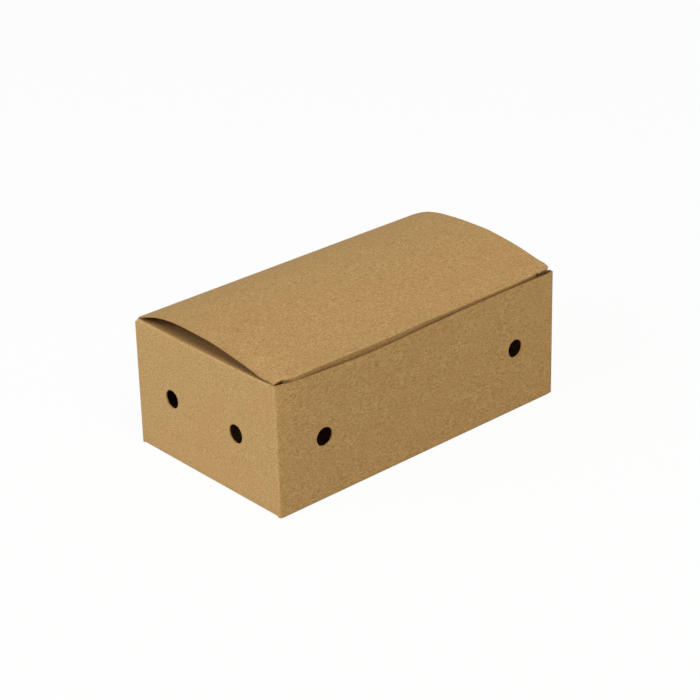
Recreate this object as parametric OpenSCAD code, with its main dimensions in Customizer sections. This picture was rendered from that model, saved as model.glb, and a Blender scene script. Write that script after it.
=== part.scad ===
// Folded card carton with an arched lid hinged along its rear top crease.
// Millimetres, +Z up, front wall towards -Y, origin at the centre of the base on the table.
// One sheet is cut and folded to make the whole carton. It is drawn as two solids, because
// the lid and its tuck flap swing on the rear crease: "carton" and "lid".

/* [Carton] */
// Outside length, from the left end wall to the right end wall
body_l = 120; // [95:1:170]
// Outside width, from the front wall to the rear wall
body_w = 70; // [60:1:100]
// Height of the walls, from the table to the top crease of the end walls
body_h = 45; // [36:1:80]
// Thickness of the board
board_t = 0.45; // [0.35:0.05:0.55]
// Outside radius of every rounded fold
fold_r = 1; // [0.8:0.1:1.3]

/* [Vent holes] */
// Diameter of each vent hole
vent_d = 6; // [4:0.5:8]
// Height of the vent centres above the table
vent_z = 22.5; // [16:0.5:26]
// Front and rear walls: distance of each vent centre from the nearer end of the carton
long_vent_in = 18.2; // [12:0.2:28]
// End walls: distance of the front vent's centre from the front wall
end_vent_front = 19.5; // [12:0.5:24]
// End walls: distance of the rear vent's centre from the rear wall
end_vent_rear = 18.5; // [17.5:0.5:24]

/* [Dust flaps] */
// Length of each dust flap, from the end wall inwards
dust_l = 32; // [20:1:38]
// Distance of a dust flap's front edge behind the front wall's outside
dust_front = 2; // [2:0.1:4]
// Distance of a dust flap's rear edge in front of the rear wall's outside
dust_rear = 1.5; // [1.5:0.1:4]
// Length of the full-width shoulder beside the crease
dust_shoulder = 7; // [4:0.5:12]
// Step from the shoulder's width to the narrower tip, on each side
dust_step = 3; // [1:0.5:6]
// Radius of the tip's corners
dust_corner = 7; // [3:0.5:10]

/* [Lid] */
// Height of the lid's highest line above the end walls' top crease
lid_rise = 6.7; // [5:0.1:9]
// Distance of that highest line in front of the rear wall's outside
lid_peak = 28; // [24:0.5:34]
// Height of the lid's front crease above the front wall's edge
lid_front_lift = 1.2; // [1.15:0.05:2]
// Distance from the left end of the carton to the lid's left edge
lid_left_in = 0.2; // [0.1:0.1:3]
// Distance from the right end of the carton to the lid's right edge
lid_right_in = 1.5; // [0.1:0.1:3]
// Clearance between the closed tuck flap and the front wall
tuck_gap = 0.25; // [0.2:0.05:0.5]
// Depth of the tuck flap below the lid's front crease
tuck_depth = 15; // [9:0.5:18]
// Curl of the tuck flap: its radius as a share of the carton's width
tuck_curl = 0.8; // [0.6:0.02:0.86]
// Distance from the lid's side edges to the tuck flap's side edges
tuck_in = 5.2; // [1.5:0.1:6]
// Radius of the tuck flap's lower corners
tuck_corner = 7; // [3:0.5:9]
// Clearance around the hinge crease, between the lid and the rear wall
hinge_gap = 0.1; // [0.08:0.01:0.2]

/* [Base and seam] */
// Length of the inner base flaps, from the end walls inwards
end_flap_l = 34; // [22:1:42]
// Clearance along the line where the two outer base flaps meet
base_gap = 0.3; // [0.2:0.05:0.6]
// Width of the tongue in the middle of that line
tongue_w = 42; // [24:1:50]
// Depth of that tongue
tongue_d = 8; // [4:0.5:12]
// Run of each slanted side of the tongue, measured along the line
tongue_run = 5; // [2:0.5:7]
// Distance of a base flap's side edges inside the rounded corners
flap_set = 0.2; // [0.1:0.1:1]
// Width of the glued tab inside the right end wall
tab_w = 12; // [8:0.5:12]
// Step from the tab's full height at the corner to its shorter glued edge
tab_end_in = 2; // [1:0.5:5]

/* [Hidden] */

fold_fn = 64;
vent_fn = 72;
bead_steps = 12;
arch_steps = 24;
fold_steps = 12;
curl_steps = 12;
inner_r = fold_r - board_t;
front_y = -body_w / 2;
rear_y = body_w / 2;
left_x = -body_l / 2;
right_x = body_l / 2;
cut_over = 1; // how far each cutting shape runs past what it cuts

// Rear wall and seam
seam_x = right_x - board_t; // inside face of the right end wall
seam_fold_x = seam_x - fold_r;
low_z = board_t + fold_r; // where the end walls' bottom folds end
fold_z = body_h - fold_r; // where the end walls' top folds begin
corner_slit = 0.4; // cut between the front wall's corner and a dust flap
corner_y = front_y + dust_front - corner_slit;

// Hinge crease: a bead as thick as the board, over the rear wall's top edge
hinge_y = rear_y - board_t / 2;
hinge_drop = 0.1; // hinge line below the end walls' top crease
hinge_z = body_h - hinge_drop;
rear_top_z = hinge_z - board_t / 2 - hinge_gap;

// Lid arch: a rear arc and a flatter front arc that meet level on the highest line
peak_y = rear_y - lid_peak;
peak_z = body_h + lid_rise;
nose_y = front_y + board_t + tuck_gap + fold_r; // centre of the lid's front fold
nose_z = body_h + lid_front_lift - fold_r;
front_run = peak_y - nose_y;
front_drop = peak_z - nose_z;
front_arc_r = (pow(front_run, 2) + pow(front_drop, 2) - pow(fold_r, 2))
    / (2 * (front_drop - fold_r));
rear_run = hinge_y - peak_y;
rear_drop = peak_z - hinge_z;
rear_arc_r = (pow(rear_run, 2) + pow(rear_drop, 2) - pow(board_t / 2, 2))
    / (2 * rear_drop - board_t);
rear_angle = atan2(rear_run, rear_arc_r - rear_drop); // slope of the lid at the hinge
nose_angle = atan2(front_run, front_arc_r - front_drop); // slope of the lid at its front fold
curl_r = tuck_curl * body_w;
curl_angle = 90 + asin(tuck_depth / curl_r);
nose_cut_z = nose_z + fold_r / 2; // lowest the front fold reaches beside the tuck flap

card_colour = [0.72, 0.56, 0.37];
lid_colour = [0.76, 0.60, 0.41];

// Draws a shape given in (y, z) as a bar from x0 to x1
module along_x(x0, x1) {
    translate([x0, 0, 0])
        rotate([90, 0, 90])
            linear_extrude(height = x1 - x0)
                children();
}

// Draws a shape given in (x, z) as a bar from y0 to y1
module along_y(y0, y1) {
    translate([0, y1, 0])
        rotate([90, 0, 0])
            linear_extrude(height = y1 - y0)
                children();
}

// A box from its low corner to its high corner
module block(low, high) {
    translate(low)
        cube([high[0] - low[0], high[1] - low[1], high[2] - low[2]]);
}

// A quarter of a rounded fold about the origin, in the quadrant given by two signs
module quarter_fold(side, up) {
    intersection() {
        difference() {
            circle(r = fold_r, $fn = fold_fn);
            circle(r = inner_r, $fn = fold_fn);
        }
        translate([min(0, side * fold_r * 2), min(0, up * fold_r * 2)])
            square([fold_r * 2, fold_r * 2]);
    }
}

// The four walls seen from above: three rounded corners, and the seam at the right rear one
module wall_plan() {
    translate([left_x + fold_r, front_y])
        square([body_l - 2 * fold_r, board_t]);
    translate([left_x + fold_r, rear_y - board_t])
        square([seam_fold_x - left_x - fold_r, board_t]);
    translate([left_x, front_y + fold_r])
        square([board_t, body_w - 2 * fold_r]);
    translate([seam_x, front_y + fold_r])
        square([board_t, body_w - fold_r]);
    translate([left_x + fold_r, front_y + fold_r])
        quarter_fold(-1, -1);
    translate([right_x - fold_r, front_y + fold_r])
        quarter_fold(1, -1);
    translate([left_x + fold_r, rear_y - fold_r])
        quarter_fold(-1, 1);
    translate([seam_fold_x, rear_y - fold_r])
        quarter_fold(1, 1);
}

module walls() {
    translate([0, 0, low_z])
        linear_extrude(height = fold_z - low_z)
            wall_plan();
    // the front wall and its two corners stand up to the full height
    intersection() {
        translate([0, 0, fold_z])
            linear_extrude(height = fold_r)
                wall_plan();
        block([left_x - cut_over, front_y - cut_over, 0], [right_x + cut_over, corner_y, body_h]);
    }
    // the rear wall stands up to the hinge crease
    block([left_x + fold_r + flap_set, rear_y - board_t, fold_z],
        [seam_fold_x - flap_set, rear_y, rear_top_z]);
    // the long walls reach lower than the end walls, because their flaps are the outer ones
    block([left_x + fold_r + flap_set, front_y, fold_r],
        [right_x - fold_r - flap_set, front_y + board_t, low_z]);
    block([left_x + fold_r + flap_set, rear_y - board_t, fold_r],
        [seam_fold_x - flap_set, rear_y, low_z]);
}

// The tab folded from the rear wall and glued inside the right end wall, narrower at its edge
module glue_tab() {
    y0 = rear_y - fold_r - tab_w;
    y1 = rear_y - fold_r;
    along_x(seam_x - board_t, seam_x)
        polygon([
            [y1, low_z], [y1, fold_z], [y1 - tab_end_in, fold_z - tab_end_in],
            [y0, fold_z - tab_end_in], [y0, low_z + tab_end_in],
            [y1 - tab_end_in, low_z + tab_end_in]
        ]);
}

// Outline of the left dust flap, seen from above
module dust_outline() {
    y0 = front_y + dust_front;
    y1 = rear_y - dust_rear;
    x0 = left_x + fold_r;
    x1 = left_x + dust_l;
    s = dust_shoulder;
    d = dust_step;
    polygon([
        [x0, y0], [x0 + s, y0], [x0 + s + d, y0 + d],
        [x0 + s + d, y1 - d], [x0 + s, y1], [x0, y1]
    ]);
    translate([x0, y0 + d])
        square([x1 - dust_corner - x0, y1 - y0 - 2 * d]);
    translate([x0, y0 + d + dust_corner])
        square([x1 - x0, y1 - y0 - 2 * (d + dust_corner)]);
    translate([x1 - dust_corner, y0 + d + dust_corner])
        circle(r = dust_corner, $fn = vent_fn);
    translate([x1 - dust_corner, y1 - d - dust_corner])
        circle(r = dust_corner, $fn = vent_fn);
}

module left_dust_flap() {
    along_y(front_y + dust_front, rear_y - dust_rear)
        translate([left_x + fold_r, fold_z])
            quarter_fold(-1, 1);
    translate([0, 0, body_h - board_t])
        linear_extrude(height = board_t)
            dust_outline();
}

// Inner base flap under the left end wall
module left_base_flap() {
    y0 = front_y + fold_r + flap_set;
    y1 = rear_y - fold_r - flap_set;
    along_y(y0, y1)
        translate([left_x + fold_r, low_z])
            quarter_fold(-1, -1);
    block([left_x + fold_r, y0, board_t], [left_x + end_flap_l, y1, 2 * board_t]);
}

// Outer base flap of the front wall, with the tongue
module front_base_flap() {
    x0 = left_x + fold_r + flap_set;
    x1 = right_x - fold_r - flap_set;
    along_x(x0, x1)
        translate([front_y + fold_r, fold_r])
            quarter_fold(-1, -1);
    linear_extrude(height = board_t)
        polygon([
            [x0, front_y + fold_r], [x1, front_y + fold_r], [x1, -base_gap / 2],
            [tongue_w / 2, -base_gap / 2], [tongue_w / 2 - tongue_run, tongue_d],
            [tongue_run - tongue_w / 2, tongue_d], [-tongue_w / 2, -base_gap / 2],
            [x0, -base_gap / 2]
        ]);
}

// Outer base flap of the rear wall, with the matching recess
module rear_base_flap() {
    x0 = left_x + fold_r + flap_set;
    x1 = seam_fold_x - flap_set;
    along_x(x0, x1)
        translate([rear_y - fold_r, fold_r])
            quarter_fold(1, -1);
    linear_extrude(height = board_t)
        polygon([
            [x0, rear_y - fold_r], [x1, rear_y - fold_r], [x1, base_gap / 2],
            [tongue_w / 2 + base_gap, base_gap / 2],
            [tongue_w / 2 - tongue_run + base_gap, tongue_d + base_gap],
            [tongue_run - tongue_w / 2 - base_gap, tongue_d + base_gap],
            [-tongue_w / 2 - base_gap, base_gap / 2], [x0, base_gap / 2]
        ]);
}

// Two vents through each wall
module vents() {
    for (x = [left_x + long_vent_in, right_x - long_vent_in])
        translate([x, 0, vent_z])
            rotate([90, 0, 0])
                cylinder(d = vent_d, h = body_w + 2 * cut_over, center = true, $fn = vent_fn);
    for (y = [front_y + end_vent_front, rear_y - end_vent_rear])
        translate([0, y, vent_z])
            rotate([0, 90, 0])
                cylinder(d = vent_d, h = body_l + 2 * cut_over, center = true, $fn = vent_fn);
}

module carton() {
    color(card_colour)
        difference() {
            union() {
                walls();
                glue_tab();
                left_dust_flap();
                mirror([1, 0, 0])
                    left_dust_flap();
                left_base_flap();
                mirror([1, 0, 0])
                    left_base_flap();
                front_base_flap();
                rear_base_flap();
            }
            vents();
        }
}

// Points on an arc about c, skipping the first (0 is up, positive towards the front)
function arc_points(c, r, from, to, steps) = [
    for (i = [1:steps])
        let (a = from + (to - from) * i / steps)
            [c[0] - r * sin(a), c[1] + r * cos(a)]
];

// Section of the whole lid in (y, z): hinge bead, rear arc, front arc, front fold, tuck flap
module lid_section() {
    hinge = [hinge_y, hinge_z];
    rear = [peak_y, peak_z - rear_arc_r];
    front = [peak_y, peak_z - front_arc_r];
    nose = [nose_y, nose_z];
    curl = [nose_y - fold_r + curl_r, nose_z];
    polygon(concat(
        arc_points(hinge, board_t / 2, -rear_angle - 180, -rear_angle, bead_steps),
        arc_points(rear, rear_arc_r, -rear_angle, 0, arch_steps),
        arc_points(front, front_arc_r, 0, nose_angle, arch_steps),
        arc_points(nose, fold_r, nose_angle, 90, fold_steps),
        arc_points(curl, curl_r, 90, curl_angle, curl_steps),
        [[curl[0] - (curl_r - board_t) * sin(curl_angle),
            curl[1] + (curl_r - board_t) * cos(curl_angle)]],
        arc_points(curl, curl_r - board_t, curl_angle, 90, curl_steps),
        arc_points(nose, inner_r, 90, nose_angle, fold_steps),
        arc_points(front, front_arc_r - board_t, nose_angle, 0, arch_steps),
        arc_points(rear, rear_arc_r - board_t, 0, -rear_angle, arch_steps)
    ));
}

// Outline of the tuck flap in (x, z), with rounded lower corners
module tuck_outline() {
    x0 = left_x + lid_left_in + tuck_in;
    x1 = right_x - lid_right_in - tuck_in;
    z0 = nose_z - tuck_depth;
    translate([x0, z0 + tuck_corner])
        square([x1 - x0, tuck_depth]);
    translate([x0 + tuck_corner, z0 - cut_over])
        square([x1 - x0 - 2 * tuck_corner, tuck_depth + cut_over]);
    translate([x0 + tuck_corner, z0 + tuck_corner])
        circle(r = tuck_corner, $fn = vent_fn);
    translate([x1 - tuck_corner, z0 + tuck_corner])
        circle(r = tuck_corner, $fn = vent_fn);
}

// Everything beside the tuck flap, below the lid's front fold
module tuck_sides() {
    z0 = nose_z - tuck_depth - cut_over;
    along_y(front_y - cut_over, peak_y)
        difference() {
            translate([left_x - cut_over, z0])
                square([body_l + 2 * cut_over, nose_cut_z - z0]);
            tuck_outline();
        }
}

module lid() {
    color(lid_colour)
        difference() {
            along_x(left_x + lid_left_in, right_x - lid_right_in)
                lid_section();
            tuck_sides();
        }
}

carton();
lid();
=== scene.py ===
import math

import bmesh
import bpy
from mathutils import Matrix, Vector


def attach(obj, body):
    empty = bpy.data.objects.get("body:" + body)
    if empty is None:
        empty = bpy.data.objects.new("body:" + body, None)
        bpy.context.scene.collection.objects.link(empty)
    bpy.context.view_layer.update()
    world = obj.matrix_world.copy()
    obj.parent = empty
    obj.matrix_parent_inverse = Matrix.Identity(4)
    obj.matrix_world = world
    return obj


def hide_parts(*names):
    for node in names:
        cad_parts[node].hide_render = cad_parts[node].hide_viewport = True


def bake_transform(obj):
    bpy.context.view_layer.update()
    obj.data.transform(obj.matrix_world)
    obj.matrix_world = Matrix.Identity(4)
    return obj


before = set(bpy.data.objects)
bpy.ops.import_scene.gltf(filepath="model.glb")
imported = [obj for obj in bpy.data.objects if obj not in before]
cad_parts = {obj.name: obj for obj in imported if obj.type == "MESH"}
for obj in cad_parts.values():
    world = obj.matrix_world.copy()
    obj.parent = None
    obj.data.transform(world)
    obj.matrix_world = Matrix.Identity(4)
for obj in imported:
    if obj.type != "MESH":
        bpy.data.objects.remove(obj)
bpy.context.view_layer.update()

# A small food carton of kraft board: one blank, folded and glued, with an arched lid on its rear crease.
# Sizes are in millimetres. The front wall looks towards -Y and the left end wall towards -X.
print("frame loaded:", ", ".join(sorted(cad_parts)))

board = {
    "thickness": 0.45,
    "fold": 1.0,  # outside radius of the folds
    "corner": 0.5,  # the two upright folds at the front are sharper
    "length": 120.0,
    "width": 70.0,
    "height": 45.0,  # up to the top creases of the end walls
    # how far the rear left corner leans forward at its top, and the length over which that fades
    "rearLean": (1.0, 105.0),
    "frontLean": (0.3, 40.0),  # and the front right one back
    "cell": 3.2,  # widest spacing of the mesh's rows and columns
    "foldSteps": 5,
    "sharpAngle": 38,  # degrees, shaded sharp above it
}
halfL = board["length"] / 2
halfW = board["width"] / 2
slack = 0.01  # mm, for tests on where a vertex lies


def mm(x, y, z):
    return Vector((x, y, z)) / 1000


def stations(start, end, fixed=(), step=None):
    # positions from start to end that include the fixed ones, with no gap wider than step
    step = step or board["cell"]
    low, high = min(start, end), max(start, end)
    marks = sorted({low, high, *[f for f in fixed if low < f < high]})
    spots = []
    for a, b in zip(marks, marks[1:]):
        count = max(1, math.ceil((b - a) / step - 1e-6))
        spots += [a + (b - a) * i / count for i in range(count)]
    spots.append(high)
    return spots if start < end else spots[::-1]


def through(points, at):
    # a smooth curve through (place, value) points, level past both ends
    if at <= points[0][0]:
        return points[0][1]
    if at >= points[-1][0]:
        return points[-1][1]
    i = max(k for k in range(len(points) - 1) if points[k][0] <= at)
    (x0, v0), (x1, v1) = points[i], points[i + 1]

    def slope(k):
        if k == 0 or k == len(points) - 1:
            return 0.0
        return (points[k + 1][1] - points[k - 1][1]) / (points[k + 1][0] - points[k - 1][0])

    span = x1 - x0
    t = (at - x0) / span
    return (v0 * (1 + 2 * t) * (1 - t) ** 2 + slope(i) * span * t * (1 - t) ** 2
            + v1 * t * t * (3 - 2 * t) + slope(i + 1) * span * t * t * (t - 1))


def smooth(t):
    t = min(1, max(0, t))
    return t * t * (3 - 2 * t)


def leaned(point):
    # two corners of the carton lean in a little towards their tops
    x, y, z = point * 1000
    (rear, rearReach), (front, frontReach) = board["rearLean"], board["frontLean"]
    rear *= max(0, 1 - (x + halfL) / rearReach) * (y + halfW) / board["width"]
    front *= max(0, 1 - (halfL - x) / frontReach) * (halfW - y) / board["width"]
    return mm(x, y + (front - rear) * z / board["height"], z)


def startEdge(bm, points):
    # the blank grows from one free edge of the board
    vert = bmesh.ops.create_vert(bm, co=points[0])["vert"][0]
    edges = []
    for point in points[1:]:
        made = bmesh.ops.extrude_vert_indiv(bm, verts=[vert])
        vert = made["verts"][0]
        vert.co = point
        edges += made["edges"]
    return edges


def endVerts(edges):
    return list(dict.fromkeys(v for e in edges for v in e.verts))


def pull(bm, edges, move):
    # flat board, one row of faces
    made = bmesh.ops.extrude_edge_only(bm, edges=edges)["geom"]
    verts = [g for g in made if isinstance(g, bmesh.types.BMVert)]
    bmesh.ops.translate(bm, vec=move, verts=verts)
    fresh = set(verts)
    return [g for g in made if isinstance(g, bmesh.types.BMEdge) and set(g.verts) <= fresh]


def pullTo(bm, edges, axis, spots):
    # flat board along one axis, a row of faces at every spot
    for a, b in zip(spots, spots[1:]):
        move = [0, 0, 0]
        move[axis] = b - a
        edges = pull(bm, edges, mm(*move))
    return edges


def turn(bm, edges, centre, axis, degrees, steps):
    # a rounded fold about a line
    last = bmesh.ops.spin(bm, geom=endVerts(edges) + edges, cent=centre, axis=axis, dvec=(0, 0, 0),
                          angle=math.radians(degrees), steps=steps, use_merge=False,
                          use_normal_flip=False, use_duplicate=False)["geom_last"]
    return [g for g in last if isinstance(g, bmesh.types.BMEdge)]


def openEdges(bm, test):
    # free edges of the board whose two ends both pass the test, given in millimetres
    return [e for e in bm.edges if e.is_boundary and all(test(*(v.co * 1000)) for v in e.verts)]


def finishBoard(bm, name, outward, creaseTest):
    # gives the sheet its thickness, with the cut edge in a material of its own; outward holds a place
    # near the sheet and the way that the board's outside faces there
    bmesh.ops.recalc_face_normals(bm, faces=bm.faces)
    bm.faces.ensure_lookup_table()
    probe = min(bm.faces, key=lambda f: (f.calc_center_median() - outward[0]).length)
    if probe.normal.dot(outward[1]) < 0:
        bmesh.ops.reverse_faces(bm, faces=bm.faces)
    mesh = bpy.data.meshes.new(name)
    wear = bm.verts.layers.float.new("creaseWear")
    for v in bm.verts:
        v[wear] = creaseTest(v)
    bm.to_mesh(mesh)
    bm.free()
    piece = bpy.data.objects.new(name, mesh)
    bpy.context.scene.collection.objects.link(piece)
    solid = piece.modifiers.new("board thickness", "SOLIDIFY")
    solid.thickness = board["thickness"] / 1000
    solid.offset = -1
    solid.use_even_offset = True
    solid.use_rim = True
    # the rim faces take the cut-edge material, whose darker colour is painted shade
    solid.material_offset_rim = 1
    for material in (kraftBoard, kraftCutEdgeWithPaintedShade):
        mesh.materials.append(material)
    ready = bpy.data.meshes.new_from_object(piece.evaluated_get(bpy.context.evaluated_depsgraph_get()))
    piece.modifiers.clear()
    piece.data = ready
    ready.name = name
    ready.shade_smooth()
    ready.set_sharp_from_angle(angle=math.radians(board["sharpAngle"]))
    print(name, "has", len(ready.polygons), "faces")
    return piece


# materials
def linearColour(hexCode):
    channels = [int(hexCode[i:i + 2], 16) / 255 for i in (1, 3, 5)]
    return [c / 12.92 if c <= 0.04045 else ((c + 0.055) / 1.055) ** 2.4 for c in channels] + [1]


def addNode(tree, kind, settings=None, inputs=None):
    node = tree.nodes.new(kind)
    for key, value in (settings or {}).items():
        setattr(node, key, value)
    for key, value in (inputs or {}).items():
        if isinstance(value, bpy.types.NodeSocket):
            tree.links.new(value, node.inputs[key])
        else:
            node.inputs[key].default_value = value
    return node


def perMetre(size):
    return 1000 / size  # a pattern's scale from the size of its features in mm


def makeKraft(name, look):
    # unbleached kraft board, calendered but uncoated: matt, with short brown fibres felted in all
    # directions, a cloudy formation and a few dark specks of bark
    material = bpy.data.materials.new(name)
    material.use_nodes = True
    tree = material.node_tree
    tree.nodes.clear()
    place = addNode(tree, "ShaderNodeTexCoord").outputs["Object"]
    felt = addNode(tree, "ShaderNodeTexNoise", {"noise_dimensions": "3D"}, {
        "Vector": place, "Scale": perMetre(look["fibre"]), "Detail": 3.0, "Roughness": 0.7})
    drawn = addNode(tree, "ShaderNodeMapping", {"vector_type": "POINT"}, {
        "Vector": place, "Scale": (look["strandWidth"] / look["strandLength"], 1, 1)})
    strands = addNode(tree, "ShaderNodeTexNoise", {"noise_dimensions": "3D"}, {
        "Vector": drawn.outputs["Vector"], "Scale": perMetre(look["strandWidth"]), "Detail": 2.0,
        "Roughness": 0.6, "Distortion": 0.4})
    cloud = addNode(tree, "ShaderNodeTexNoise", {"noise_dimensions": "3D"}, {
        "Vector": place, "Scale": perMetre(look["cloud"]), "Detail": 4.0, "Roughness": 0.6})
    specks = addNode(tree, "ShaderNodeTexNoise", {"noise_dimensions": "3D"}, {
        "Vector": drawn.outputs["Vector"], "Scale": perMetre(look["speck"]), "Detail": 1.0, "Roughness": 0.5})
    speckMask = addNode(tree, "ShaderNodeMapRange", {"clamp": True}, {
        "Value": specks.outputs["Fac"], "From Min": 0.66, "From Max": 0.74, "To Min": 0.0, "To Max": 1.0})
    # fibres: from dark to pale around the middle tone
    grain = addNode(tree, "ShaderNodeMath", {"operation": "MULTIPLY_ADD"}, {
        0: strands.outputs["Fac"], 1: look["strandShare"],
        2: addNode(tree, "ShaderNodeMath", {"operation": "MULTIPLY"}, {
            0: felt.outputs["Fac"], 1: 1 - look["strandShare"]}).outputs["Value"]})
    ramp = addNode(tree, "ShaderNodeValToRGB", {}, {"Fac": grain.outputs["Value"]})
    ramp.color_ramp.elements[0].position = look["grainLow"]
    ramp.color_ramp.elements[0].color = linearColour(look["fibreDark"])
    ramp.color_ramp.elements[1].position = look["grainHigh"]
    ramp.color_ramp.elements[1].color = linearColour(look["fibrePale"])
    clouded = addNode(tree, "ShaderNodeMix", {"data_type": "RGBA", "blend_type": "MIX"}, {
        "Factor": addNode(tree, "ShaderNodeMapRange", {"clamp": True}, {
            "Value": cloud.outputs["Fac"], "From Min": 0.35, "From Max": 0.65,
            "To Min": 0.0, "To Max": look["cloudShare"]}).outputs["Result"],
        "A": ramp.outputs["Color"], "B": linearColour(look["cloudTone"])})
    flecked = addNode(tree, "ShaderNodeMix", {"data_type": "RGBA", "blend_type": "MIX"}, {
        "Factor": addNode(tree, "ShaderNodeMath", {"operation": "MULTIPLY"}, {
            0: speckMask.outputs["Result"], 1: look["speckShare"]}).outputs["Value"],
        "A": clouded.outputs["Result"], "B": linearColour(look["speckTone"])})
    # the outside of a fold is stretched, so its fibres stand a little open and pale
    crease = addNode(tree, "ShaderNodeAttribute", {"attribute_name": "creaseWear"})
    worn = addNode(tree, "ShaderNodeMix", {"data_type": "RGBA", "blend_type": "MIX"}, {
        "Factor": addNode(tree, "ShaderNodeMath", {"operation": "MULTIPLY"}, {
            0: crease.outputs["Fac"], 1: look["creaseShare"]}).outputs["Value"],
        "A": flecked.outputs["Result"], "B": linearColour(look["creaseTone"])})
    rough = addNode(tree, "ShaderNodeMapRange", {"clamp": True}, {
        "Value": grain.outputs["Value"], "From Min": 0.3, "From Max": 0.7,
        "To Min": look["roughness"] - look["roughSpread"], "To Max": look["roughness"] + look["roughSpread"]})
    bump = addNode(tree, "ShaderNodeBump", {}, {
        "Height": grain.outputs["Value"], "Strength": look["bump"], "Distance": look["fuzz"] / 1000})
    shader = addNode(tree, "ShaderNodeBsdfPrincipled", {}, {
        "Base Color": worn.outputs["Result"], "Roughness": rough.outputs["Result"],
        "Normal": bump.outputs["Normal"], "IOR": look["ior"], "Specular IOR Level": look["specular"]})
    addNode(tree, "ShaderNodeOutputMaterial", {}, {"Surface": shader.outputs["BSDF"]})
    return material


kraftLook = {
    "fibreDark": "#A37C46",
    "fibrePale": "#D8B27C",
    "cloudTone": "#BB8F5A",
    "cloudShare": 0.30,
    "speckTone": "#7A5A34",
    "speckShare": 0.35,
    "creaseTone": "#CFAE7E",
    "creaseShare": 0.10,
    "grainLow": 0.39,
    "grainHigh": 0.61,
    "fibre": 0.40,  # a real fibre is 0.03 mm thick; drawn coarser, so that the grain shows
    "strandWidth": 0.32,
    "strandLength": 1.1,
    "strandShare": 0.45,  # the rest of the grain is the finer felt
    "cloud": 7.0,
    "speck": 0.9,
    "roughness": 0.86,
    "roughSpread": 0.06,
    "ior": 1.47,  # cellulose
    "specular": 0.3,
    "bump": 0.15,
    "fuzz": 0.06,  # height of the loose fibres
}
kraftBoard = makeKraft("unbleached kraft board", kraftLook)
# the die leaves the cut edge rougher; its colour, a shade darker than the faces, is painted shade on the thin
# edges and the vent rims
kraftCutEdgeWithPaintedShade = makeKraft("die-cut edge of kraft board, darkened as painted shade", {
    **kraftLook, "fibreDark": "#977141", "fibrePale": "#C49E69", "fibre": 0.3, "strandWidth": 0.2,
    "strandLength": 0.5, "roughness": 0.93, "bump": 0.5})
print("materials made")


# carton: walls, glue tab, dust flaps and base flaps, all one sheet
carton = {
    "ventDiameter": 6.3,
    "ventHeight": 22.5,
    "longVents": ((-41.9, -0.5), (41.8, 0.45)),  # along the front and rear walls, and off their height
    "endVents": ((-15.2, -0.45), (16.8, -0.05)),  # the same for the end walls
    "ventPatch": 5.0,  # half the side of the square left for each vent
    "wallLow": 1.45,  # bottom of the end walls, above their folds
    "wallHigh": 43.4,  # top of the rear wall, where the lid's crease begins
    "dustFront": -33.0,
    "dustRear": 33.5,
    "dustLength": 32.0,
    "dustShoulder": 6.2,
    "dustStep": 3.0,
    "dustCorner": 7.0,
    "dustDroop": 12.0,  # degrees that a dust flap slopes down beside its crease, level towards its end
    "dustLevel": 24.0,  # from there on it lies level
    "dustRows": (14.0, 19.0),  # its rows of faces between the step and the corners
    "dustFold": 0.6,
    "crownSteps": 6,
    "slit": -33.15,  # the front wall's corners end here, beside the dust flaps
    "rearCorner": (1.0, 0.8, 1.5),  # height over the rear wall, rounded off by this much over this width
    "baseSide": 33.8,
    "baseEnd": 58.8,
    "rearEnd": 58.2,  # right end of the rear base flap, clear of the glue tab
    "baseCell": 8.0,
    "cornerLow": 0.6,  # bottom of the corners, between the base flaps
    "endFlap": 34.0,
    "tongue": (21.0, 16.0, 8.0),  # half width at its root and at its tip, depth
    "tongueBeside": 25.0,  # a column of faces past the tongue
    "recess": (0.3, 1.5),  # how far past the tongue's root its recess is shaped, and by how much it slants
    "baseGap": 0.12,
    "seam": 59.53,  # outside face of the glue tab, against the right end wall
    "tabEdge": 22.0,
    "tabShare": 0.9,  # the tab is cut shorter than the wall
    "tabCell": 2.0,
    # how far the front wall's top edge bows out and dips, from the left end
    "bow": ((0, 0.0), (2, 0.6), (5, 1.0), (9, 1.35), (16, 1.65), (30, 1.75), (40, 1.7), (50, 1.55),
            (58, 1.2), (70, 0.8), (80, 0.47), (92, 0.26), (105, 0.1), (120, 0.0)),
    "dip": ((0, 0.05), (7, 0.36), (15, 0.5), (24, 0.82), (32, 0.97), (41, 0.95), (54, 0.63),
            (68, 0.41), (81, 0.19), (95, 0.19), (108, 0.25), (116, 0.33), (120, 0.2)),
    "bowCurve": 1.6,
    "dipFade": (26.0, 19.0),  # it grows from this height up, over this much
    # and how far the end walls' creases sag, from the front
    "sag": ((0, 0.1), (8, 0.5), (20, 0.6), (30, 0.5), (40, 0.45), (52, 0.25), (62, 0.0), (70, 0.0)),
    "sagFade": (28.0, 15.0),
}


def openVent(bm, centre, normal, off):
    # leaves a square out of the wall and pulls its edges in to the round vent
    side = Vector((0, 0, 1)).cross(normal)
    reach = carton["ventPatch"] / 1000 + 1e-5

    def near(point):
        away = point - centre
        return abs(away.dot(side)) < reach and abs(away.z) < reach and abs(away.dot(normal)) < 1e-4

    bmesh.ops.delete(bm, geom=[f for f in bm.faces if near(f.calc_center_median())], context="FACES")
    rim = [e for e in bm.edges if e.is_boundary and all(near(v.co) for v in e.verts)]
    bmesh.ops.subdivide_edges(bm, edges=rim, cuts=2)
    rim = [e for e in bm.edges if e.is_boundary and all(near(v.co) for v in e.verts)]
    for v in endVerts(pull(bm, rim, mm(0, 0, 0))):
        v.co = centre + mm(0, 0, off) + (v.co - centre).normalized() * carton["ventDiameter"] / 2000


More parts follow.
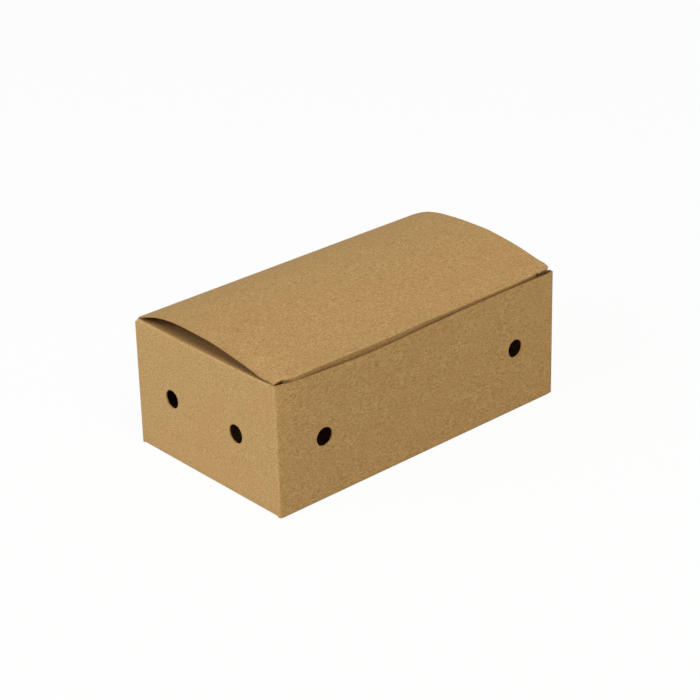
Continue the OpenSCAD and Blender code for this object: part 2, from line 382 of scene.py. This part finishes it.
def dustHalfWidth(along):
    # half the width of a dust flap, at a distance from its crease
    half = (carton["dustRear"] - carton["dustFront"]) / 2
    narrow = half - carton["dustStep"] * min(1, max(0, (along - carton["dustShoulder"]) / carton["dustStep"]))
    past = along - (carton["dustLength"] - board["fold"] - carton["dustCorner"])
    if past > 0:
        narrow -= carton["dustCorner"] - math.sqrt(max(0, carton["dustCorner"] ** 2 - past ** 2))
    return narrow


def makeCarton():
    fold = board["fold"]
    sharp = board["corner"]
    patch = carton["ventPatch"]
    bm = bmesh.new()
    top, low, ventZ = carton["wallHigh"], carton["wallLow"], carton["ventHeight"]
    baseSide, baseEnd = carton["baseSide"], carton["baseEnd"]
    heights = stations(low, top, (ventZ - patch, ventZ + patch))
    endMarks = [carton["slit"], carton["dustFront"], carton["dustRear"], baseSide, -baseSide]
    endMarks += [v + side * patch for v, off in carton["endVents"] for side in (-1, 1)]
    longMarks = [v + side * patch for v, off in carton["longVents"] for side in (-1, 1)]
    longMarks += [side * x for x in (*carton["tongue"][:2], carton["tongueBeside"]) for side in (-1, 1)]

    # around the walls from the glue tab: rear, left end, front, right end
    edges = startEdge(bm, [mm(carton["seam"], carton["tabEdge"], z) for z in heights])
    inner = halfW - fold
    edges = pullTo(bm, edges, 1, stations(carton["tabEdge"], inner, (inner - carton["tabCell"],)))
    edges = turn(bm, edges, mm(carton["seam"] - fold, halfW - fold, 0), (0, 0, 1), 90, board["foldSteps"])
    rearMarks = longMarks + [carton["rearEnd"], -baseEnd]
    edges = pullTo(bm, edges, 0, stations(carton["seam"] - fold, fold - halfL, rearMarks))
    edges = turn(bm, edges, mm(fold - halfL, halfW - fold, 0), (0, 0, 1), 90, board["foldSteps"])
    edges = pullTo(bm, edges, 1, stations(halfW - fold, sharp - halfW, endMarks))
    edges = turn(bm, edges, mm(sharp - halfL, sharp - halfW, 0), (0, 0, 1), 90, board["foldSteps"])
    edges = pullTo(bm, edges, 0, stations(sharp - halfL, halfL - sharp, longMarks + [baseEnd, -baseEnd]))
    edges = turn(bm, edges, mm(halfL - sharp, sharp - halfW, 0), (0, 0, 1), 90, board["foldSteps"])
    edges = pullTo(bm, edges, 1, stations(sharp - halfW, halfW, endMarks + [halfW - fold]))

    for y, off in carton["endVents"]:
        for side in (-1, 1):
            openVent(bm, mm(side * halfL, y, carton["ventHeight"]), Vector((side, 0, 0)), off)
    for x, off in carton["longVents"]:
        for side in (-1, 1):
            openVent(bm, mm(x, side * halfW, carton["ventHeight"]), Vector((0, side, 0)), off)

    # the front wall, its corners and the two rear corners stand higher than the rear wall, and the rear
    # corners are rounded off
    edges = openEdges(bm, lambda x, y, z: y < carton["slit"] + slack and z > top - slack)
    pullTo(bm, edges, 2, (top, (top + board["height"]) / 2, board["height"]))
    edges = openEdges(bm, lambda x, y, z: carton["slit"] - slack < y < carton["dustFront"] + slack
                      and abs(z - top) < slack)
    pullTo(bm, edges, 2, (top, board["height"] - fold))
    edges = openEdges(bm, lambda x, y, z: y > carton["dustRear"] - slack and abs(x) > halfL - fold - slack
                      and abs(z - top) < slack and y < halfW + slack)
    rise, drop, width = carton["rearCorner"]
    for v in endVerts(pullTo(bm, edges, 2, (top, top + rise))):
        v.co.z -= drop * smooth((v.co.y * 1000 - carton["dustRear"]) / width) / 1000

    # between the base flaps each corner runs on nearly to the table
    edges = openEdges(bm, lambda x, y, z: abs(z - low) < slack and abs(x) > baseEnd - slack
                      and abs(y) > baseSide - slack)
    pullTo(bm, edges, 2, (low, carton["cornerLow"]))

    for side in (-1, 1):  # dust flaps
        edges = openEdges(bm, lambda x, y, z: abs(x - side * halfL) < slack and abs(z - top) < slack
                          and carton["dustFront"] - slack < y < carton["dustRear"] + slack)
        crownR = carton["dustFold"]
        edges = pullTo(bm, edges, 2, (top, board["height"] - crownR))
        edges = turn(bm, edges, mm(side * (halfL - crownR), 0, board["height"] - crownR), (0, -side, 0),
                     90 + carton["dustDroop"], carton["crownSteps"])
        tip = carton["dustLength"] - crownR - carton["dustCorner"]
        shoulder = carton["dustShoulder"]
        along = [0, shoulder / 2, shoulder, shoulder + carton["dustStep"], *carton["dustRows"]]
        along += [tip + carton["dustCorner"] * math.sin(math.radians(a)) for a in range(0, 91, 15)]
        middle = (carton["dustFront"] + carton["dustRear"]) / 2
        for a, b in zip(along, along[1:]):
            droop = math.tan(math.radians(carton["dustDroop"] * (1 - smooth(a / carton["dustLevel"]))))
            edges = pull(bm, edges, mm(-side * (b - a), 0, (a - b) * droop))
            for v in endVerts(edges):
                v.co.y = (middle + (v.co.y * 1000 - middle) * dustHalfWidth(b) / dustHalfWidth(a)) / 1000

    for side in (-1, 1):  # base flaps of the end walls, the inner ones
        edges = openEdges(bm, lambda x, y, z: abs(x - side * halfL) < slack and abs(z - low) < slack
                          and abs(y) < baseSide + slack)
        edges = turn(bm, edges, mm(side * (halfL - fold), 0, low), (0, side, 0), 90, board["foldSteps"])
        rows = stations(side * (halfL - fold), side * (halfL - carton["endFlap"]), (), carton["baseCell"])
        pullTo(bm, edges, 0, rows)

    root, tip, deep = carton["tongue"]
    gap = carton["baseGap"] / 2
    for side in (-1, 1):  # base flaps of the front and rear walls, the outer ones, with a tongue in a recess
        reach = baseEnd if side < 0 else carton["rearEnd"]
        edges = openEdges(bm, lambda x, y, z: abs(y - side * halfW) < slack and abs(z - low) < slack
                          and -baseEnd - slack < x < reach + slack)
        edges = pullTo(bm, edges, 2, (low, fold))
        edges = turn(bm, edges, mm(0, side * (halfW - fold), fold), (-side, 0, 0), 90, board["foldSteps"])
        if side < 0:
            edges = pullTo(bm, edges, 1, stations(fold - halfW, -gap, (), carton["baseCell"]))
            edges = [e for e in edges if all(abs(v.co.x) < (root + slack) / 1000 for v in e.verts)]
            edges = pull(bm, edges, mm(0, deep + gap, 0))
            for v in endVerts(edges):
                v.co.x *= tip / root
        else:
            edges = pullTo(bm, edges, 1, stations(halfW - fold, deep + 2 * gap, (), carton["baseCell"]))
            edges = [e for e in edges if all(abs(v.co.x) > (tip - slack) / 1000 for v in e.verts)]
            edges = pull(bm, edges, mm(0, -deep - gap, 0))
            for v in endVerts(edges):
                x = abs(v.co.x * 1000)
                if x < root + carton["recess"][0]:
                    slant = carton["recess"][1] * (x - tip) / (root - tip)
                    v.co.x = math.copysign(root + 2 * gap + slant, v.co.x) / 1000

    (dipLow, dipReach), (sagLow, sagReach) = carton["dipFade"], carton["sagFade"]
    for v in bm.verts:  # board that has relaxed since it was folded
        x, y, z = v.co * 1000
        if y < sharp - halfW + slack and z > low + slack:
            v.co.y -= through(carton["bow"], x + halfL) * (z / board["height"]) ** carton["bowCurve"] / 1000
            v.co.z -= through(carton["dip"], x + halfL) * smooth((z - dipLow) / dipReach) / 1000
        elif y < halfW - fold + slack:
            v.co.z -= through(carton["sag"], y + halfW) * smooth((z - sagLow) / sagReach) / 1000
        if abs(x - carton["seam"]) < slack and y < halfW - fold - slack:
            middle = (low + top) / 2
            v.co.z = (middle + (z - middle) * carton["tabShare"]) / 1000
        v.co = leaned(v.co)

    def creaseAt(v):
        x, y, z = v.co * 1000
        corner = abs(x) > halfL - fold and abs(y) > halfW - fold
        crown = abs(x) > halfL - fold and z > board["height"] - fold and abs(y) < halfW - fold
        foot = z < low and (abs(x) > halfL - fold or abs(y) > halfW - fold)
        return 1.0 if corner or crown or foot else 0.0

    piece = finishBoard(bm, "carton_walls_and_flaps", (mm(0, -halfW, 20), Vector((0, -1, 0))), creaseAt)
    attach(piece, "carton")
    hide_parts("carton")
    return piece


# lid: arched panel and tuck flap, with the crease that joins it to the rear wall
lid = {
    "left": -59.8,
    "right": 58.5,
    "rise": 6.7,  # highest line above the end walls
    "peak": 7.0,  # where that line lies across the carton
    "creaseRadius": 1.5,
    "hinge": (34.775, 44.9),
    "nose": (-34.95, 46.42),  # centre of the front fold
    "noseRadius": 0.15,  # the front fold is scored, so it is sharper than the others
    "creaseSteps": 8,
    "archSteps": (14, 20),  # behind the highest line and in front of it
    "noseSteps": 4,
    "noseHold": 0.2,  # a narrow row of faces keeps the panel even up to the fold
    "cell": 3.0,
    "columns": (-58.8, -57.7, -55.4, -54.4, -53.2, -51.5),  # closer ones at the left corner
    "ear": (0.5, 1.8, 4.0),  # at the right the panel runs on beside the tuck flap: length, radius, width
    "tuckDepth": 15.0,
    "tuckLean": 32.0,  # degrees that the tuck flap leans in just below the fold
    "tuckEase": (0.7, 3.0),  # this share of it is gone this far down
    "tuckRows": (0.15, 0.7, 0.85, 0.9, 1.0, 1.4, 1.5, 1.5, 1.5, 1.5, 1.5, 1.2, 0.8, 0.5),
    "tuckIn": (3.4, 6.0),  # from the lid's left and right edges
    "tuckCorner": 7.0,
    # the left edge runs in towards the rear: how far, from where on, over what length and what width
    "rearIn": (1.5, 28.0, 6.5, 8.0),
    "cornerLift": ((46, 0.0), (54, 0.2), (58.5, 0.42), (64, 0.28), (70, 0.0)),  # at the rear right corner
    "cornerFade": (46.0, 10.0),
    # the sheet isn't flat: how far it lies off the even arch, from the front to the rear
    "leftOff": ((5, -2.0), (12, -1.9), (20, -1.8), (26, -1.6), (32, -1.5), (38, -1.5), (44, -1.35),
                (50, -1.0), (57, -0.55), (63, -0.35), (70, -0.35)),
    "rightOff": ((5, 0.1), (8, 0.2), (13, 0.5), (18, 0.65), (24, 0.8), (29, 0.92), (35, 0.71),
                 (41, 0.62), (46.5, 0.56), (52, 0.7), (57, 0.6), (63, 0.3), (70, 0.0)),
    "noseFade": (1.2, 5.0),  # the panel goes over into the front fold from here, over this length
    # and the front fold, from the left end to the right
    "noseOff": ((0, -1.1), (4, -0.5), (7, -0.2), (15, 0.1), (24, 0.18), (32, 0.18), (41, 0.15),
                (54, 0.22), (68, 0.0), (81, -0.1), (95, -0.2), (108, -0.1), (118.5, 0.35)),
    # the front fold pushes out over the bowed wall, and hangs back at both ends
    "push": ((0, 0.4), (2, 0.5), (3.2, 0.25), (4.3, -0.15), (5.2, -0.75), (7, -1.45), (15, -1.65),
             (30, -1.8), (52, -1.6), (62, -1.0), (75, -0.6), (87, -0.3), (100, -0.1), (110, 0.2),
             (118.5, 0.4)),
}


def makeLid():
    noseR = lid["noseRadius"]
    bm = bmesh.new()
    peakZ = board["height"] + lid["rise"]
    noseY, noseZ = lid["nose"]
    run, drop = lid["peak"] - noseY, peakZ - noseZ
    frontR = (run ** 2 + drop ** 2 - noseR ** 2) / (2 * (drop - noseR))
    rearRun, rearDrop = lid["hinge"][0] - lid["peak"], peakZ - lid["hinge"][1]
    thick = board["thickness"]
    rearR = (rearRun ** 2 + rearDrop ** 2 - (thick / 2) ** 2) / (2 * rearDrop - thick)
    noseAngle = math.degrees(math.atan2(run, frontR - drop))
    creaseR = lid["creaseRadius"]
    creaseY = halfW - creaseR
    creaseZ = peakZ - rearR + math.sqrt((rearR - creaseR) ** 2 - (creaseY - lid["peak"]) ** 2)
    rearAngle = math.degrees(math.asin((creaseY - lid["peak"]) / (rearR - creaseR)))

    tuckLeft, tuckRight = lid["left"] + lid["tuckIn"][0], lid["right"] - lid["tuckIn"][1]
    spots = stations(lid["left"], lid["right"], (*lid["columns"], tuckLeft, tuckRight), lid["cell"])
    low = carton["wallHigh"]
    edges = startEdge(bm, [mm(x, halfW, low) for x in spots])
    edges = pull(bm, edges, mm(0, 0, creaseZ - low))

    along = (1, 0, 0)
    edges = turn(bm, edges, mm(0, creaseY, creaseZ), along, 90 - rearAngle, lid["creaseSteps"])
    edges = turn(bm, edges, mm(0, lid["peak"], peakZ - rearR), along, rearAngle, lid["archSteps"][0])
    hold = math.degrees(lid["noseHold"] / frontR)
    edges = turn(bm, edges, mm(0, lid["peak"], peakZ - frontR), along, noseAngle - hold, lid["archSteps"][1])
    edges = turn(bm, edges, mm(0, lid["peak"], peakZ - frontR), along, hold, 1)
    fold = [e for e in edges if all(tuckLeft - slack < v.co.x * 1000 < tuckRight + slack for v in e.verts)]
    beside = [e for e in edges if all(v.co.x * 1000 > tuckRight - slack for v in e.verts)]
    slope = math.radians(noseAngle)
    length, corner, width = lid["ear"]
    for row in range(2):
        beside = pull(bm, beside, mm(0, -length / 2 * math.cos(slope), -length / 2 * math.sin(slope)))
    front = min(v.co.y for v in endVerts(beside)) * 1000
    edges = turn(bm, fold, mm(0, noseY, noseZ), along, 90 - noseAngle + lid["tuckLean"], lid["noseSteps"])
    down = 0
    eased, easedBy = lid["tuckEase"]
    for step in lid["tuckRows"]:
        lean = math.radians(lid["tuckLean"] * (1 - eased * smooth(down / easedBy)))
        edges = pull(bm, edges, mm(0, step * math.sin(lean), -step * math.cos(lean)))
        down += step

    middle = (tuckLeft + tuckRight) / 2
    half = (tuckRight - tuckLeft) / 2
    rearIn, rearFrom, rearReach, rearWidth = lid["rearIn"]
    for v in bm.verts:
        x, y, z = v.co * 1000
        depth = noseZ - z
        tuck = y < 0 and z < noseZ + noseR / 2 and tuckLeft - slack < x < tuckRight + slack
        if tuck and depth > lid["tuckDepth"] - lid["tuckCorner"]:  # rounded lower corners
            past = depth - (lid["tuckDepth"] - lid["tuckCorner"])
            cut = lid["tuckCorner"] - math.sqrt(max(0, lid["tuckCorner"] ** 2 - past ** 2))
            x = middle + (x - middle) * (half - cut) / half
        away = lid["right"] - x
        past = front + corner - y
        if not tuck and past > 0 and away < width:
            x -= (corner - math.sqrt(max(0, corner ** 2 - past ** 2))) * (1 - away / width)
        if y > rearFrom:
            x += rearIn * smooth((y - rearFrom) / rearReach) ** 2 * max(0, 1 - (x - lid["left"]) / rearWidth)
        fromLeft, fromFront = x + halfL, y + halfW
        even = fromLeft / board["length"]
        panel = through(lid["leftOff"], fromFront) * (1 - even) + through(lid["rightOff"], fromFront) * even
        share = 0 if tuck else smooth((fromFront - lid["noseFade"][0]) / lid["noseFade"][1])
        z += through(lid["noseOff"], fromLeft) * (1 - share) + panel * share
        lifted = smooth((x - lid["cornerFade"][0]) / lid["cornerFade"][1])
        z += through(lid["cornerLift"], fromFront) * lifted
        y += through(lid["push"], fromLeft) * (1 if tuck else min(1, (halfW - y) / (halfW - noseY)))
        v.co = leaned(mm(x, y, z))

    def creaseAt(v):
        x, y, z = v.co * 1000
        return 1.0 if y > halfW - creaseR and z > creaseZ else 0.0

    piece = finishBoard(bm, "lid_and_tuck_flap", (mm(0, 0, 60), Vector((0, 0, 1))), creaseAt)
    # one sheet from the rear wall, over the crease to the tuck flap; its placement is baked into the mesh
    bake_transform(piece)
    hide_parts("lid")
    return piece


makeCarton()
makeLid()
print("carton and lid folded")


# floor, light and camera
stage = {
    "floor": "#D2D0CC",  # as other surfaces see it; the camera sees it white
    "floorSize": 14.0,  # metres
    "floorShown": 0.94,  # share of plain white in what the camera sees of the floor
    "floorBelow": 0.05,  # mm below the base
    "floorHidden": 2.5,  # mm inside the carton's outline, from where the floor stays dark
    "ambient": 0.2,
    "aim": 25.0,  # mm above the floor, where the lamps point
}
lamps = {  # position in metres, width, power in watts and tint, aimed at the carton
    "key": ((-1.30, 0.25, 0.62), 1.2, 11.6, (0.92, 1.0, 1.05)),
    "front": ((-0.45, -0.95, 1.35), 1.0, 16.0, (1.04, 1.0, 0.84)),
}


def makeFloor():
    bm = bmesh.new()
    bmesh.ops.create_grid(bm, x_segments=1, y_segments=1, size=stage["floorSize"] / 2)
    bmesh.ops.translate(bm, vec=mm(0, 0, -stage["floorBelow"]), verts=bm.verts)
    mesh = bpy.data.meshes.new("floor")
    bm.to_mesh(mesh)
    bm.free()
    floor = bpy.data.objects.new("floor", mesh)
    bpy.context.scene.collection.objects.link(floor)
    material = bpy.data.materials.new("matt white studio floor")
    material.use_nodes = True
    tree = material.node_tree
    tree.nodes.clear()
    rays = addNode(tree, "ShaderNodeLightPath")
    seen = addNode(tree, "ShaderNodeMath", {"operation": "MAXIMUM"}, {
        0: rays.outputs["Is Camera Ray"],
        1: addNode(tree, "ShaderNodeMath", {"operation": "MAXIMUM"}, {
            0: rays.outputs["Is Glossy Ray"], 1: rays.outputs["Is Transmission Ray"]}).outputs["Value"]})
    # under the carton it stays dark, so that no white shows between the base flaps
    place = addNode(tree, "ShaderNodeSeparateXYZ", {}, {
        "Vector": addNode(tree, "ShaderNodeVectorMath", {"operation": "ABSOLUTE"}, {
            0: addNode(tree, "ShaderNodeTexCoord").outputs["Object"]}).outputs["Vector"]})
    clear = addNode(tree, "ShaderNodeMath", {"operation": "MAXIMUM"}, {
        0: addNode(tree, "ShaderNodeMath", {"operation": "GREATER_THAN"}, {
            0: place.outputs["X"], 1: (halfL - stage["floorHidden"]) / 1000}).outputs["Value"],
        1: addNode(tree, "ShaderNodeMath", {"operation": "GREATER_THAN"}, {
            0: place.outputs["Y"], 1: (halfW - stage["floorHidden"]) / 1000}).outputs["Value"]})
    share = addNode(tree, "ShaderNodeMath", {"operation": "MULTIPLY"}, {
        0: addNode(tree, "ShaderNodeMath", {"operation": "MULTIPLY"}, {
            0: seen.outputs["Value"], 1: clear.outputs["Value"]}).outputs["Value"],
        1: stage["floorShown"]})
    tone = addNode(tree, "ShaderNodeMix", {"data_type": "RGBA", "blend_type": "MIX"}, {
        "Factor": seen.outputs["Value"], "A": linearColour(stage["floor"]), "B": linearColour("#FFFFFF")})
    matt = addNode(tree, "ShaderNodeBsdfDiffuse", {}, {"Color": tone.outputs["Result"]})
    white = addNode(tree, "ShaderNodeEmission", {}, {"Color": (1, 1, 1, 1), "Strength": 1.0})
    both = addNode(tree, "ShaderNodeMixShader", {}, {
        "Fac": share.outputs["Value"], 1: matt.outputs["BSDF"], 2: white.outputs["Emission"]})
    addNode(tree, "ShaderNodeOutputMaterial", {}, {"Surface": both.outputs["Shader"]})
    mesh.materials.append(material)


def makeWorld():
    world = bpy.data.worlds.new("white studio")
    bpy.context.scene.world = world
    world.use_nodes = True
    tree = world.node_tree
    tree.nodes.clear()
    rays = addNode(tree, "ShaderNodeLightPath")
    seen = addNode(tree, "ShaderNodeMath", {"operation": "MAXIMUM"}, {
        0: rays.outputs["Is Camera Ray"],
        1: addNode(tree, "ShaderNodeMath", {"operation": "MAXIMUM"}, {
            0: rays.outputs["Is Glossy Ray"], 1: rays.outputs["Is Transmission Ray"]}).outputs["Value"]})
    strength = addNode(tree, "ShaderNodeMapRange", {"clamp": True}, {
        "Value": seen.outputs["Value"], "From Min": 0.0, "From Max": 1.0,
        "To Min": stage["ambient"], "To Max": 1.0})
    back = addNode(tree, "ShaderNodeBackground", {}, {
        "Color": (1, 1, 1, 1), "Strength": strength.outputs["Result"]})
    addNode(tree, "ShaderNodeOutputWorld", {}, {"Surface": back.outputs["Background"]})


def makeLamps():
    for name, (place, width, power, tint) in lamps.items():
        lamp = bpy.data.lights.new(name, "AREA")
        lamp.shape = "SQUARE"
        lamp.size = width
        lamp.energy = power
        lamp.color = tint
        holder = bpy.data.objects.new(name, lamp)
        holder.location = place
        holder.rotation_euler = (mm(0, 0, stage["aim"]) - Vector(place)).to_track_quat("-Z", "Y").to_euler()
        bpy.context.scene.collection.objects.link(holder)


view = {
    "yaw": 41.314,  # degrees from straight in front, towards the left end
    "pitch": 25.380,
    "roll": -1.705,
    "distance": 621.5,
    "aside": (0.35, 2.10),
    "focus": 97.7,  # mm of lens on a 36 mm sensor
}


def makeCamera():
    yaw, pitch, roll = (math.radians(view[k]) for k in ("yaw", "pitch", "roll"))
    ahead = Vector((math.sin(yaw) * math.cos(pitch), math.cos(yaw) * math.cos(pitch), -math.sin(pitch)))
    right = Vector((math.cos(yaw), -math.sin(yaw), 0))
    up = right.cross(ahead)
    across = right * math.cos(roll) + up * math.sin(roll)
    above = up * math.cos(roll) - right * math.sin(roll)
    data = bpy.data.cameras.new("photo view")
    data.lens = view["focus"]
    data.sensor_width = 36
    data.clip_start = 0.01
    data.clip_end = 50
    holder = bpy.data.objects.new("photo view", data)
    place = (mm(0, 0, board["height"] / 2) - ahead * view["distance"] / 1000
             + (across * view["aside"][0] + above * view["aside"][1]) / 1000)
    turned = Matrix((across, above, -ahead)).transposed()
    holder.matrix_world = Matrix.Translation(place) @ turned.to_4x4()
    bpy.context.scene.collection.objects.link(holder)
    bpy.context.scene.camera = holder


makeFloor()
makeWorld()
makeLamps()
makeCamera()
bpy.context.scene.view_settings.view_transform = "Standard"
print("stage ready")
